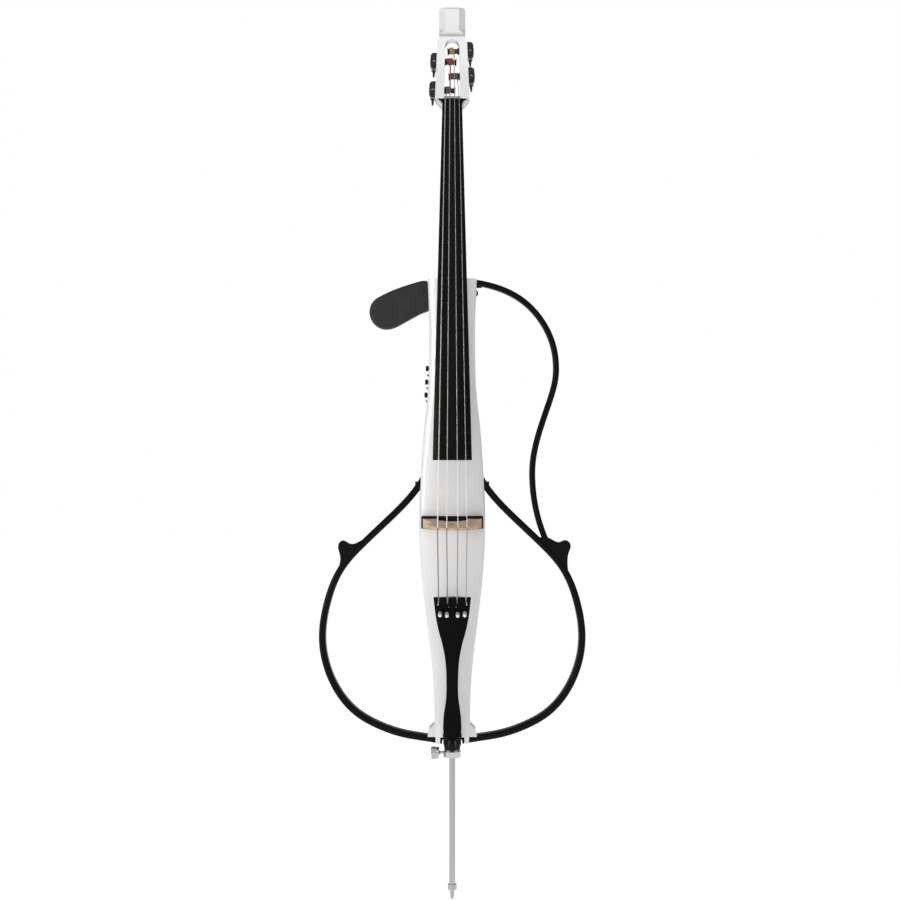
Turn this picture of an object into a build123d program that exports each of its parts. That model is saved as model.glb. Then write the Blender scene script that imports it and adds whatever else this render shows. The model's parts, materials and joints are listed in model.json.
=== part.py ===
from build123d import *
import math
import os

os.makedirs("parts", exist_ok=True)

# An electric frame cello. Millimetres. +Z is up along the endpin, -Y is the player's string side,
# and +X is on the right of someone who looks at the strings. The origin is the endpin's lowest point.

# ---------------------------------------------------------------- driving dimensions
BRIDGE_Z = 603.0
BASE_Z = 611.0
NUT_Z = 1297.0
REST_Y_BRIDGE = -114.5
REST_Y_NUT = -0.5
STRING_ARCH = 62.0
STRING_GAP = 0.12

BODY_TOP = 1003.0
BODY_BOTTOM = 265.0
BODY_SIDE_FRONT = -18.0
BODY_SIDE_BACK = 16.0
BODY_CORNER = 9.0
# height and half width of the centre body, from the bottom to the shoulder
BODY_STATIONS = [
    (BODY_BOTTOM, 28.4), (322.0, 29.5), (399.0, 35.0), (477.0, 44.6), (555.0, 51.8), (620.0, 53.2),
    (711.0, 49.0), (769.0, 44.6), (808.0, 40.2), (866.0, 37.3), (905.0, 36.8),
    (930.0, 36.9), (955.0, 37.8), (980.0, 39.0), (BODY_TOP, 39.7),
]
SIDE_MID_Y = 1.0

FINGERBOARD_END = 711.0
FINGERBOARD_TOP = 1289.0
FINGERBOARD_HALF_END = 31.0
FINGERBOARD_HALF_TOP = 16.0

PEGBOX_HALF_LOW = 28.0
PEGBOX_HALF_HIGH = 24.0
PEGBOX_LOW = 1298.0
PEGBOX_HIGH = 1393.0
PEGBOX_TOP = 1399.0
HEAD_TOP = 1450.0
HEAD_HALF = 21.3
SLOT_TOP = 1395.0
SLOT_BOTTOM = 1302.0
SLOT_HALF_LOW = 13.2
SLOT_HALF_HIGH = 11.6

POST_Y = 19.0
POST_RADIUS = 4.0
POST_REACH = 32.5
FLANGE_RADIUS = 5.8
MODULE = 1.0
WHEEL_TEETH = 14
WORM_RADIUS = 2.6
WORM_DROP = MODULE * WHEEL_TEETH / 2 + WORM_RADIUS
WORM_X = 4.25
KEY_HALF_LENGTH = 11.0
PLATE_BACK_Y = 18.0
KEY_FRONT_Y = 20.0
KEY_DEPTH = 14.0
# number of the tuner, side of the peg box and height of its post: strings C, G, D and A
TUNERS = [(1, -1, 1313.7), (2, -1, 1360.0), (3, 1, 1377.5), (4, 1, 1336.4)]

TAIL_BOTTOM = (-50.0, 262.0)
TAIL_TOP = (-98.0, 494.0)
TAIL_ARCH = 60.0
TAIL_DEPTH = 10.0

# letter, radius, place across at the post, the nut, the bridge and the tailpiece
STRINGS = [
    ("c", 0.9, -8.0, -11.2, -23.1, -21.5),
    ("g", 0.75, -3.0, -3.7, -8.7, -7.5),
    ("d", 0.6, 3.0, 3.7, 8.7, 7.5),
    ("a", 0.5, 8.0, 11.2, 23.1, 21.5),
]

FRAME_MID_Y = 2.0
LOWER_WIDTH = 11.0
LOWER_DEPTH = 26.0
UPPER_WIDTH = 9.5
UPPER_DEPTH = 20.0
# middle line of the lower bout bar, across and up, from the side of the body round to the endpin
LOWER_ROUTE = [
    (44.0, 685.0), (67.0, 652.0), (105.0, 613.0), (146.0, 574.0), (179.0, 536.0), (203.0, 477.0),
    (210.0, 419.0), (197.0, 361.0), (154.0, 302.0), (124.0, 284.0), (77.0, 267.5), (45.0, 262.0),
    (15.8, 257.2),
]
# middle line of the upper bout bar, from the shoulder down into the lower bar
UPPER_ROUTE = [
    (34.0, 998.5), (78.0, 988.0), (111.0, 971.0), (135.0, 949.0), (151.0, 926.0), (162.0, 901.0),
    (168.0, 868.0), (167.0, 841.0), (160.0, 813.0), (141.0, 756.0), (130.0, 701.0), (130.0, 673.0),
    (139.0, 617.0), (153.0, 578.0),
]

# rims of the two horns, across and up: the right one is fuller, because the upper bar runs into it
LEFT_HORN = [
    (146.0, 581.0), (153.0, 577.5), (161.0, 574.5), (168.0, 575.8), (175.0, 579.8), (181.0, 579.0),
    (184.3, 573.0), (184.2, 567.0), (182.2, 560.0), (181.0, 553.0), (181.6, 545.0), (185.0, 536.0),
]
RIGHT_HORN = [
    (143.0, 585.0), (160.0, 583.0), (174.0, 577.6), (184.5, 580.6), (190.6, 576.0), (191.2, 569.0),
    (188.0, 560.0), (186.6, 551.0), (186.4, 543.0), (187.5, 534.0),
]
HORN_HEEL = (150.0, 565.0)

ROD_RADIUS = 5.0
ROD_BORE = 5.05
ROD_TOP = 420.0
TIP_POINT_RADIUS = 1.7
TIP_RADIUS = 3.4
FERRULE_BOTTOM = 15.5
FERRULE_TOP = 24.2
FERRULE_RADIUS = 7.3
COLLAR_BOTTOM = 230.0
COLLAR_EDGE = 239.0
COLLAR_TOP = 242.0
COLLAR_RADIUS = 14.3
SOCKET_TOP = 300.0
SOCKET_RADIUS = 10.0
PLUG_TOP = 252.0
SLOT_FRONT = -11.4
SLOT_BACK = 15.4
SLOT_ROOF = 271.0
THUMB_Z = 236.6
THUMB_END_X = -5.6
THUMB_SHANK_RADIUS = 2.5
THUMB_KNOB_X = (-34.3, -21.3)
THUMB_KNOB_RADIUS = 10.0

# upper and lower edge of the chest pad, across and up
PAD_TOP = [(-50.0, 1000.5), (-84.0, 990.0), (-108.0, 980.0), (-123.0, 972.0)]
PAD_LOW = [(-107.0, 922.0), (-94.0, 924.5), (-81.0, 931.0), (-63.0, 941.0), (-47.0, 949.0)]
PAD_DEPTH = 30.0

# the flange at each lower corner of the body, across and up, and the fingers that hang from it
EAR_CORNERS = [(20.0, 292.0), (27.8, 286.0), (37.8, 276.7), (39.8, 265.0), (20.0, 265.0)]
EAR_FRONT = -19.0
EAR_BACK = 20.5
FINGER_X = (19.5, 27.0)
BACK_FINGER_X = (17.0, 31.0)
FINGER_FOOT = 254.0

KNOB_HEIGHTS = [859.0, 837.0, 816.0]
BUTTON_HEIGHTS = [848.0, 827.0, 806.0]
# across, up, width and height of the chips on the circuit board, and the two battery cells
CHIPS = [(0, 870, 14, 14), (4, 835, 9, 20), (-4, 806, 8, 8), (12, 885, 6, 10)]
CELL_RADIUS = 7.1
CELL_X = 8.4
CELL_Y = 10.5

# height and bore radius of the line output, the headphone output and the power inlet
JACKS = [(752.0, 3.2), (733.0, 1.8), (717.0, 2.8)]


# ---------------------------------------------------------------- small helpers
def block(x0, x1, y0, y1, z0, z1):
    return Pos((x0 + x1) / 2, (y0 + y1) / 2, (z0 + z1) / 2) * Box(x1 - x0, y1 - y0, z1 - z0)


def bar_x(x0, x1, y, z, radius, end_radius=None):
    shape = Cylinder(radius, x1 - x0) if end_radius is None else Cone(radius, end_radius, x1 - x0)
    return Pos((x0 + x1) / 2, y, z) * Rot(0, 90, 0) * shape


def bar_y(y0, y1, x, z, radius):
    return Pos(x, (y0 + y1) / 2, z) * Rot(90, 0, 0) * Cylinder(radius, y1 - y0)


def bar_z(z0, z1, radius, top_radius=None, x=0.0, y=0.0):
    shape = Cylinder(radius, z1 - z0) if top_radius is None else Cone(radius, top_radius, z1 - z0)
    return Pos(x, y, (z0 + z1) / 2) * shape


def front_plate(outline, y0, y1):
    """A closed outline drawn across and up, made solid from y0 back to y1."""
    face = Plane.XZ * make_face(outline)
    return Pos(0, y0, 0) * extrude(face, amount=-(y1 - y0))


def side_plate(outline, x0, x1):
    """A closed outline drawn back and up, made solid from x0 to x1."""
    face = Plane.YZ * make_face(outline)
    return Pos(x0, 0, 0) * extrude(face, amount=x1 - x0)


def between(value, low, high, at_low, at_high):
    return at_low + (value - low) * (at_high - at_low) / (high - low)


def rest_y(z):
    """Where the nut and the bridge hold the strings, at height z."""
    return between(z, BRIDGE_Z, NUT_Z, REST_Y_BRIDGE, REST_Y_NUT)


def arch_drop(x):
    return STRING_ARCH - math.sqrt(STRING_ARCH**2 - x**2)


def fingerboard_apex(z):
    return rest_y(z) + between(z, FINGERBOARD_END, FINGERBOARD_TOP, 6.5, 0.9)


def fingerboard_under(z):
    thick = between(z, FINGERBOARD_END, FINGERBOARD_TOP, 12.0, 8.0)
    return fingerboard_apex(z) + thick


def fingerboard_half(z):
    return between(z, FINGERBOARD_END, FINGERBOARD_TOP, FINGERBOARD_HALF_END, FINGERBOARD_HALF_TOP)


def pegbox_half(z):
    return between(z, PEGBOX_LOW, PEGBOX_HIGH, PEGBOX_HALF_LOW, PEGBOX_HALF_HIGH)


def body_half(z):
    for (low, half_low), (high, half_high) in zip(BODY_STATIONS, BODY_STATIONS[1:]):
        if low <= z <= high:
            return between(z, low, high, half_low, half_high)
    return BODY_STATIONS[-1][1]


# ---------------------------------------------------------------- centre body
def body_section(half, grow):
    front = -(24.0 + 0.14 * half) - grow
    back = 20.0 + 0.18 * half + grow
    wide = half + grow
    outline = [
        ThreePointArc((-wide, BODY_SIDE_FRONT), (0, front), (wide, BODY_SIDE_FRONT)),
        Line((wide, BODY_SIDE_FRONT), (wide, BODY_SIDE_BACK)),
        ThreePointArc((wide, BODY_SIDE_BACK), (0, back), (-wide, BODY_SIDE_BACK)),
        Line((-wide, BODY_SIDE_BACK), (-wide, BODY_SIDE_FRONT)),
    ]
    face = make_face(outline)
    return fillet(face.vertices(), BODY_CORNER)


def body_shape(grow=0.0):
    """The outer form of the centre body: a long waisted bar with an arched front and back."""
    return loft([Pos(0, 0, z) * body_section(half, grow) for z, half in BODY_STATIONS])


OUTER = body_shape()
OUTER_GROWN = body_shape(0.3)
COVER_BOX = (-24.0, 24.0, 22.0, 40.0, 696.0, 908.0)
DOOR_BOX = (-18.0, 18.0, 22.5, 40.0, 716.0, 782.0)
PANEL_BOX = (-60.0, -34.6, -9.0, 11.0, 797.0, 870.0)
JACK_BOX = (-60.0, -40.5, -8.0, 10.0, 706.0, 764.0)
BASE_BOX = (-49.7, 49.7, -34.5, -22.0, BASE_Z - 10, BASE_Z + 10)


def grown(box, gap):
    x0, x1, y0, y1, z0, z1 = box
    return (x0 - gap, x1 + gap, y0 - gap, y1 + gap, z0 - gap, z1 + gap)


def ears():
    """The white flanges at the bottom, which the two lower bars slide behind."""
    pair = []
    for side in (-1, 1):
        corners = [(side * across, height) for across, height in EAR_CORNERS]
        ear = front_plate(Polyline(*corners, close=True), EAR_FRONT, EAR_BACK)
        ear = chamfer(ear.edges().filter_by(Axis.Y), 0.8)
        finger = block(*FINGER_X, EAR_FRONT + 1.5, SLOT_FRONT, FINGER_FOOT, SLOT_ROOF - 3)
        back_finger = block(*BACK_FINGER_X, SLOT_BACK, EAR_BACK, FINGER_FOOT - 0.5, SLOT_ROOF - 3)
        fingers = finger + back_finger
        pair += [ear, fingers if side > 0 else mirror(fingers, about=Plane.YZ)]
    return pair


def lock_screw_sites():
    """x and z of the lock screws for the upper bar, the chest pad and the two lower bars."""
    return {"upper": (35.8, 983.5), "pad": (-33.0, 978.0), "left": (-24.0, 259.5), "right": (24.0, 259.5)}


def make_body():
    body = OUTER + ears()
    cuts = [
        block(-19.1, 19.1, -60, 8.1, 924.9, 1010),
        bar_z(240, ROD_TOP + 220, ROD_RADIUS + 1),
        block(-60, 60, SLOT_FRONT, SLOT_BACK, 240, SLOT_ROOF),
        bar_z(240, SOCKET_TOP + 0.1, SOCKET_RADIUS),
        block(*grown(COVER_BOX, 0.15)),
        block(-22, 22, -12, 30, 700, 904),
        block(*grown(PANEL_BOX, 0.1)),
        block(*grown(JACK_BOX, 0.1)),
        block(*grown(BASE_BOX, 0.1)),
        block(-15.1, 15.1, -40, -25.9, 262.9, 273.1),
        bar_x(44, 62, FRAME_MID_Y, 672, 4.3),
        bar_x(-62, -44, FRAME_MID_Y, 672, 4.3),
        bar_x(26, 50, FRAME_MID_Y, 993, 3.8),
        bar_x(-50, -26, FRAME_MID_Y, 978, 4.3),
    ]
    cuts += [bar_x(-40, -20, SIDE_MID_Y, z, 2.8) for z in KNOB_HEIGHTS]
    cuts += [bar_x(-40, -20, SIDE_MID_Y, z, 2.4) for z in BUTTON_HEIGHTS]
    cuts += [bar_x(-45, -21, SIDE_MID_Y, z, radius + 2.1) for z, radius in JACKS]
    sites = lock_screw_sites()
    cuts += [bar_y(6.2, 40, *sites[name], 2.05) for name in ("upper", "pad")]
    cuts += [bar_y(SLOT_BACK - 1, 30, *sites[name], 2.05) for name in ("left", "right")]
    for cut in cuts:
        body -= cut
    return body


def make_covers():
    cover = OUTER & block(*COVER_BOX)
    cover -= block(*grown(DOOR_BOX, 0.25))
    cover += block(-22, 22, 20.2, 22.0, 786, 904)
    door = OUTER & block(*DOOR_BOX)
    return {"back_cover": cover, "battery_door": door}


def make_panels():
    panel = OUTER & block(*PANEL_BOX)
    for z in KNOB_HEIGHTS:
        panel -= bar_x(-60, -30, SIDE_MID_Y, z, 1.9)
    for z in BUTTON_HEIGHTS:
        panel -= bar_x(-60, -30, SIDE_MID_Y, z, 1.85)
    jacks = OUTER & block(*JACK_BOX)
    for z, radius in JACKS:
        jacks += bar_x(-41, -24, SIDE_MID_Y, z, radius + 2.0)
        jacks -= bar_x(-60, -26, SIDE_MID_Y, z, radius)
    return {"control_panel": panel, "jack_panel": jacks}


def make_controls():
    parts = {}
    for number, z in enumerate(KNOB_HEIGHTS, start=1):
        outside = -body_half(z)
        cap = bar_x(outside - 5.2, outside - 0.4, SIDE_MID_Y, z, 4.3)
        cap = fillet(cap.edges().group_by(Axis.X)[0], 1.0)
        shaft = bar_x(outside - 0.5, -14, SIDE_MID_Y, z, 1.5)
        parts[f"control_knob_{number}"] = cap + shaft
    for number, z in enumerate(BUTTON_HEIGHTS, start=1):
        outside = -body_half(z)
        stem = bar_x(outside - 2.6, -23.5, SIDE_MID_Y, z, 1.7)
        collar = bar_x(-33.9, -32.9, SIDE_MID_Y, z, 2.1)
        stem = fillet(stem.edges().group_by(Axis.X)[0], 0.5)
        parts[f"push_button_{number}"] = stem + collar
    return parts


def make_electronics():
    board = block(-20, 20, 8, 9.6, 792, 898)
    for z in KNOB_HEIGHTS:
        board += block(-21.5, -12.5, -3.5, 8.2, z - 4.4, z + 4.4)
        board -= bar_x(-22, -13.5, SIDE_MID_Y, z, 1.55)
    for z in BUTTON_HEIGHTS:
        board += block(-21.5, -14, -2, 8.2, z - 3, z + 3)
    for x, z, wide, tall in CHIPS:
        board += block(x - wide / 2, x + wide / 2, 5.6, 8.2, z - tall / 2, z + tall / 2)
    holder = block(-18, 18, 0, 19.5, 718, 778)
    bay_low, bay_high, bay_radius = 721, 775, CELL_RADIUS + 0.4
    cells = []
    for x in (-CELL_X, CELL_X):
        holder -= bar_z(bay_low, bay_high, bay_radius, x=x, y=CELL_Y)
        holder -= block(x - bay_radius, x + bay_radius, CELL_Y, 30, bay_low, bay_high)
        can = bar_z(bay_low + 1, bay_high - 3, CELL_RADIUS, x=x, y=CELL_Y)
        button = bar_z(bay_high - 4, bay_high - 1, 2.6, x=x, y=CELL_Y)
        cells.append(can + button)
    return {"circuit_board": board, "battery_holder": holder, "batteries": Compound(children=cells)}


# ---------------------------------------------------------------- neck, peg box and head
def neck_section(z, half, depth):
    front = fingerboard_under(z)
    reach = front + depth * 4 / 3
    back = Bezier((half, front), (half, reach), (-half, reach), (-half, front))
    return Pos(0, 0, z) * make_face([Line((-half, front), (half, front)), back])


def neck_bar():
    """The handle of the neck, from the heel on the shoulder up to the peg box."""
    heel_top = 1092.0
    handle = [(heel_top, 20.6), (FINGERBOARD_TOP, 18.6)]
    heel = [(BODY_TOP, 63.0), (1012.0, 50.5), (1024.0, 39.0), (1038.0, 30.5), (1054.0, 25.2),
            (1072.0, 22.2), (heel_top, 20.6)]
    lower = loft([neck_section(z, fingerboard_half(z), depth) for z, depth in heel])
    upper = loft([neck_section(z, fingerboard_half(z), depth) for z, depth in handle], ruled=True)
    return lower + upper


def head_blank():
    """Peg box and head: the outline seen from the front, met with the outline seen from the side."""
    low = 1272.0
    half = [
        Spline((15.6, low), (16.6, 1282), (23.0, 1290), (PEGBOX_HALF_LOW, PEGBOX_LOW)),
        Line((PEGBOX_HALF_LOW, PEGBOX_LOW), (PEGBOX_HALF_HIGH, PEGBOX_HIGH)),
        ThreePointArc((PEGBOX_HALF_HIGH, PEGBOX_HIGH), (22.9, 1395), (HEAD_HALF, PEGBOX_TOP)),
        Line((HEAD_HALF, PEGBOX_TOP), (HEAD_HALF, HEAD_TOP - 5)),
        ThreePointArc((HEAD_HALF, HEAD_TOP - 5), (HEAD_HALF - 1.5, HEAD_TOP - 1.5), (HEAD_HALF - 5, HEAD_TOP)),
        Line((HEAD_HALF - 5, HEAD_TOP), (0, HEAD_TOP)),
        Line((0, HEAD_TOP), (0, low)),
        Line((0, low), (15.6, low)),
    ]
    right = front_plate(half, -10, 80)
    front_view = right + mirror(right, about=Plane.YZ)
    seat = fingerboard_under
    side = [
        Line((seat(low), low), (seat(NUT_Z), NUT_Z)),
        Line((seat(NUT_Z), NUT_Z), (1.6, NUT_Z)),
        Line((1.6, NUT_Z), (9.0, PEGBOX_TOP)),
        ThreePointArc((9.0, PEGBOX_TOP), (16.5, PEGBOX_TOP + 1.8), (20.0, PEGBOX_TOP + 8)),
        Line((20.0, PEGBOX_TOP + 8), (23.5, HEAD_TOP - 3)),
        ThreePointArc((23.5, HEAD_TOP - 3), (24.6, HEAD_TOP - 0.8), (27.0, HEAD_TOP)),
        Line((27.0, HEAD_TOP), (40.0, HEAD_TOP)),
        ThreePointArc((40.0, HEAD_TOP), (43.5, HEAD_TOP - 1.5), (45.0, HEAD_TOP - 5)),
        Line((45.0, HEAD_TOP - 5), (41.5, PEGBOX_TOP)),
        Line((41.5, PEGBOX_TOP), (37.0, 1306)),
        Spline((37.0, 1306), (34.0, 1292), (seat(low) + 18.8, low), tangents=((-0.05, -1), (-0.16, -1))),
        Line((seat(low) + 18.8, low), (seat(low), low)),
    ]
    return front_view & side_plate(side, -40, 40)


def head_facets(side):
    """What is cut off one front corner of the head: a tall facet, and a short one that runs it out."""
    ridge, outer, front = side * 11.0, side * 24.0, 5.0
    knee, foot = 1413.0, 1401.0
    tall = ConvexPolyhedron([
        (ridge, 23.9, HEAD_TOP + 1), (ridge, 20.6, knee), (outer, 29.6, knee), (outer, 32.9, HEAD_TOP + 1),
        (ridge, front, HEAD_TOP + 1), (ridge, front, knee), (outer, front, knee), (outer, front, HEAD_TOP + 1),
    ])
    short = ConvexPolyhedron([
        (ridge, 20.6, knee), (outer, 29.6, knee), (outer, 19.0, foot),
        (ridge, front, knee), (outer, front, knee), (outer, front, foot),
    ])
    return [tall, short]


def make_neck():
    head = head_blank()
    low, high = SLOT_HALF_LOW, SLOT_HALF_HIGH
    arch = SLOT_TOP - 11
    slot = [
        Line((low, SLOT_BOTTOM + 2), (high, arch)),
        ThreePointArc((high, arch), (0, SLOT_TOP), (-high, arch)),
        Line((-high, arch), (-low, SLOT_BOTTOM + 2)),
        ThreePointArc((-low, SLOT_BOTTOM + 2), (-low + 0.6, SLOT_BOTTOM + 0.6), (-low + 2, SLOT_BOTTOM)),
        Line((-low + 2, SLOT_BOTTOM), (low - 2, SLOT_BOTTOM)),
        ThreePointArc((low - 2, SLOT_BOTTOM), (low - 0.6, SLOT_BOTTOM + 0.6), (low, SLOT_BOTTOM + 2)),
    ]
    head -= front_plate(slot, -20, 60)
    ramp = Polyline((-10, NUT_Z), (1.6, NUT_Z), (21, 1312), (-10, 1312), close=True)
    head -= side_plate(ramp, -12.6, 12.6)
    for side in (-1, 1):
        head -= head_facets(side)
    neck = neck_bar() + head
    low, high = 925.0, BODY_TOP
    tenon = [
        Line((fingerboard_under(low), low), (fingerboard_under(high), high)),
        Line((fingerboard_under(high), high), (8, high)),
        Line((8, high), (8, low)),
        Line((8, low), (fingerboard_under(low), low)),
    ]
    neck += side_plate(tenon, -19, 19)
    for _, side, z in TUNERS:
        place = tuner_place(z)
        neck -= mirror_for(side, place, Rot(0, 90, 0) * Cylinder(POST_RADIUS + 0.05, 60))
        for y, height in TUNER_SCREWS:
            neck -= mirror_for(side, place, bar_x(-9.0, 1, y, height, 1.2))
    return neck


def arched_section(z, half, apex, under):
    drop = arch_drop(half)
    outline = [
        ThreePointArc((-half, apex + drop), (0, apex), (half, apex + drop)),
        Line((half, apex + drop), (half, under)),
        Line((half, under), (-half, under)),
        Line((-half, under), (-half, apex + drop)),
    ]
    return Pos(0, 0, z) * make_face(outline)


def make_fingerboard():
    ends = []
    for z in (FINGERBOARD_END, FINGERBOARD_TOP):
        ends.append(arched_section(z, fingerboard_half(z), fingerboard_apex(z), fingerboard_under(z)))
    board = loft(ends, ruled=True)
    hollow = []
    for z, half, depth in ((FINGERBOARD_END - 1, 22.0, 5.0), (915.0, 15.0, 2.0)):
        under = fingerboard_under(z)
        hollow.append(Pos(0, 0, z) * make_face([
            Line((-half, under + 1), (half, under + 1)),
            ThreePointArc((half, under + 1), (0, under - depth), (-half, under + 1)),
        ]))
    return board - loft(hollow, ruled=True)


def make_nut():
    stations = [(FINGERBOARD_TOP, 16.0), (1293.0, 18.2), (NUT_Z, 23.3)]
    return loft([arched_section(z, half, rest_y(z), fingerboard_under(z)) for z, half in stations])


# ---------------------------------------------------------------- tuners
TUNER_SCREWS = [(13.0, 6.4), (13.0, -2.4)]


def tuner_place(z):
    """The tuner's own frame on the right wall: x out of the wall, z up along it, centred on the post."""
    lean = math.degrees(math.atan2(PEGBOX_HALF_LOW - PEGBOX_HALF_HIGH, PEGBOX_HIGH - PEGBOX_LOW))
    return Pos(pegbox_half(z) + 0.05, POST_Y, z) * Rot(0, -lean, 0)


def mirror_for(side, place, shape):
    placed = place * shape
    return placed if side > 0 else mirror(placed, about=Plane.YZ)


def gear_wheel(thick):
    pitch_radius = MODULE * WHEEL_TEETH / 2
    root, tip = pitch_radius - 0.9, pitch_radius + 0.6
    wheel = Circle(root)
    tooth = make_face(Polyline((root - 0.5, -0.75), (tip, -0.33), (tip, 0.33), (root - 0.5, 0.75), close=True))
    for i in range(WHEEL_TEETH):
        wheel += Rot(0, 0, (i + 0.5) * 360 / WHEEL_TEETH) * tooth
    return extrude(wheel, thick)


def worm():
    """A one-start right-hand worm along +Y, with its thread at the top at its middle."""
    pitch = math.pi * MODULE
    turns = 3
    core, tip = 1.7, 3.2
    path = Helix(pitch, turns * pitch, core)
    outline = Polyline((core - 0.4, -0.75), (tip, -0.32), (tip, 0.32), (core - 0.4, 0.75), close=True)
    profile = Plane(origin=(0, 0, 0), x_dir=(1, 0, 0), z_dir=(0, -1, 0)) * make_face(outline)
    thread = sweep(profile, path=path, is_frenet=True)
    screw = Pos(0, 0, -turns * pitch / 2) * thread + Cylinder(core, turns * pitch + 1.5)
    along_y = Plane(origin=(0, 0, 0), x_dir=(0, 0, -1), z_dir=(0, 1, 0))
    return along_y * screw


def tuner_plate():
    base = block(0, 1.5, -9.6, PLATE_BACK_Y, -13.4, 9.5)
    cover = block(0, 10, -9.6, 9.6, -9.0, 12.6)
    cover = fillet(cover.edges().filter_by(Axis.Y).group_by(Axis.Z)[-1].sort_by(Axis.X)[-1], 6.0)
    cover = fillet(cover.edges().filter_by(Axis.Y).sort_by(Axis.X)[-1], 1.5)
    worm_case = block(0, 8.3, -8.2, 8.2, -13.4, -7)
    worm_case = fillet(worm_case.edges().filter_by(Axis.Y).group_by(Axis.Z)[0].sort_by(Axis.X)[-1], 2.5)
    rear_lug = block(0, 8.0, PLATE_BACK_Y - 5, PLATE_BACK_Y, -13.4, -6)
    plate = base + cover + worm_case + rear_lug
    plate -= bar_x(1.6, 8.0, 0, 0, 8.2)
    plate -= bar_y(-6.2, 6.2, WORM_X, -WORM_DROP, 3.55)
    plate -= bar_x(-1, 11, 0, 0, POST_RADIUS + 0.05)
    plate -= bar_y(-20, 40, WORM_X, -WORM_DROP, 1.65)
    plate -= block(1.6, 12, -12, -5, -1.7, 1.7)
    for y, z in TUNER_SCREWS:
        plate -= bar_x(-1, 3, y, z, 1.25)
    return plate


def string_post():
    post = bar_x(-POST_REACH, 9.2, 0, 0, POST_RADIUS)
    post += bar_x(-POST_REACH, -POST_REACH + 1.2, 0, 0, FLANGE_RADIUS)
    post += bar_x(-POST_REACH + 1.2, -POST_REACH + 2.9, 0, 0, FLANGE_RADIUS, POST_RADIUS)
    post += Pos(WORM_X - 1.5, 0, 0) * Rot(0, 90, 0) * gear_wheel(3.0)
    post += bar_x(9.0, 10.6, 0, 0, 3.2)
    post -= bar_y(-6, 6, -24.0, 0, 1.0)
    return post


def flange_ring(wall):
    return bar_x(-wall - 4.0, -wall - 0.3, 0, 0, POST_RADIUS, 6.6)


def tuner_key():
    key = Pos(WORM_X, 0, -WORM_DROP) * worm()
    key += bar_y(-8.0, KEY_FRONT_Y + 2, WORM_X, -WORM_DROP, 1.6)
    front, back = KEY_FRONT_Y, KEY_FRONT_Y + KEY_DEPTH
    half = [
        Line((front, 0), (front, 3.2)),
        Spline((front, 3.2), (front + 1.6, 5.0), (front + 2.2, 8.4), (front + 6.2, KEY_HALF_LENGTH),
               (back - 1.2, 8.6), (back, 4.4), (back - 1.6, 0)),
        Line((back - 1.6, 0), (front, 0)),
    ]
    wing = side_plate(half, -5, 5)
    wings = wing + mirror(wing, about=Plane.XY)
    taper = Polyline((-2.6, 0), (-1.0, KEY_HALF_LENGTH + 1), (1.0, KEY_HALF_LENGTH + 1), (2.6, 0),
                     (1.0, -KEY_HALF_LENGTH - 1), (-1.0, -KEY_HALF_LENGTH - 1), close=True)
    wings = wings & front_plate(taper, front - 5, back + 5)
    hub = bar_y(front - 1.5, front + 6, 0, 0, 2.9)
    return key + Pos(WORM_X, 0, -WORM_DROP) * (wings + hub)


def make_tuners():
    parts = {}
    screws = []
    plate, post, key = tuner_plate(), string_post(), tuner_key()
    for number, side, z in TUNERS:
        place = tuner_place(z)
        wall = pegbox_half(z) - between(z, SLOT_BOTTOM + 2, SLOT_TOP - 11, SLOT_HALF_LOW, SLOT_HALF_HIGH)
        parts[f"tuner_plate_{number}"] = mirror_for(side, place, plate)
        parts[f"string_post_{number}"] = mirror_for(side, place, post + flange_ring(wall))
        parts[f"tuner_key_{number}"] = mirror_for(side, place, key)
        for y, height in TUNER_SCREWS:
            screw = bar_x(-8.5, 1.6, y, height, 1.15) + bar_x(1.5, 2.8, y, height, 2.2)
            screws.append(mirror_for(side, place, screw))
    parts["tuner_screws"] = Compound(children=screws)
    return parts


# ---------------------------------------------------------------- strings and bridge
TAIL_LEAN = math.atan2(TAIL_BOTTOM[0] - TAIL_TOP[0], TAIL_TOP[1] - TAIL_BOTTOM[1])
TAIL_LENGTH = math.hypot(TAIL_BOTTOM[0] - TAIL_TOP[0], TAIL_TOP[1] - TAIL_BOTTOM[1])
TAIL_PLANE = Plane(
    origin=(0, TAIL_BOTTOM[0], TAIL_BOTTOM[1]), x_dir=(1, 0, 0),
    z_dir=(0, -math.cos(TAIL_LEAN), -math.sin(TAIL_LEAN)))
HOOK_ALONG = TAIL_LENGTH - 8.0


def tail_surface(x):
    """How far the tailpiece's arched front lies under its middle line at x."""
    return TAIL_ARCH - math.sqrt(TAIL_ARCH**2 - x**2)


def string_route(radius, post_x, nut_x, bridge_x, tail_x, post_z):
    over_nut = (nut_x, REST_Y_NUT + arch_drop(nut_x) - radius - STRING_GAP, NUT_Z)
    over_bridge = (bridge_x, REST_Y_BRIDGE + arch_drop(bridge_x) - radius - STRING_GAP, BRIDGE_Z)
    tail = TAIL_PLANE.from_local_coords((tail_x, HOOK_ALONG, -tail_surface(tail_x) - 1.2))
    post = (post_x, POST_Y - POST_RADIUS - radius - 0.4, post_z)
    return [tuple(tail), over_bridge, over_nut, post]


def make_strings():
    parts = {}
    for (letter, radius, *across), (_, _, post_z) in zip(STRINGS, TUNERS):
        route = string_route(radius, *across, post_z)
        path = FilletPolyline(*route, radius=2.5)
        start = Plane(origin=path @ 0, z_dir=path % 0)
        parts[f"string_{letter}"] = sweep(start * Circle(radius), path=path)
    return parts


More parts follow.
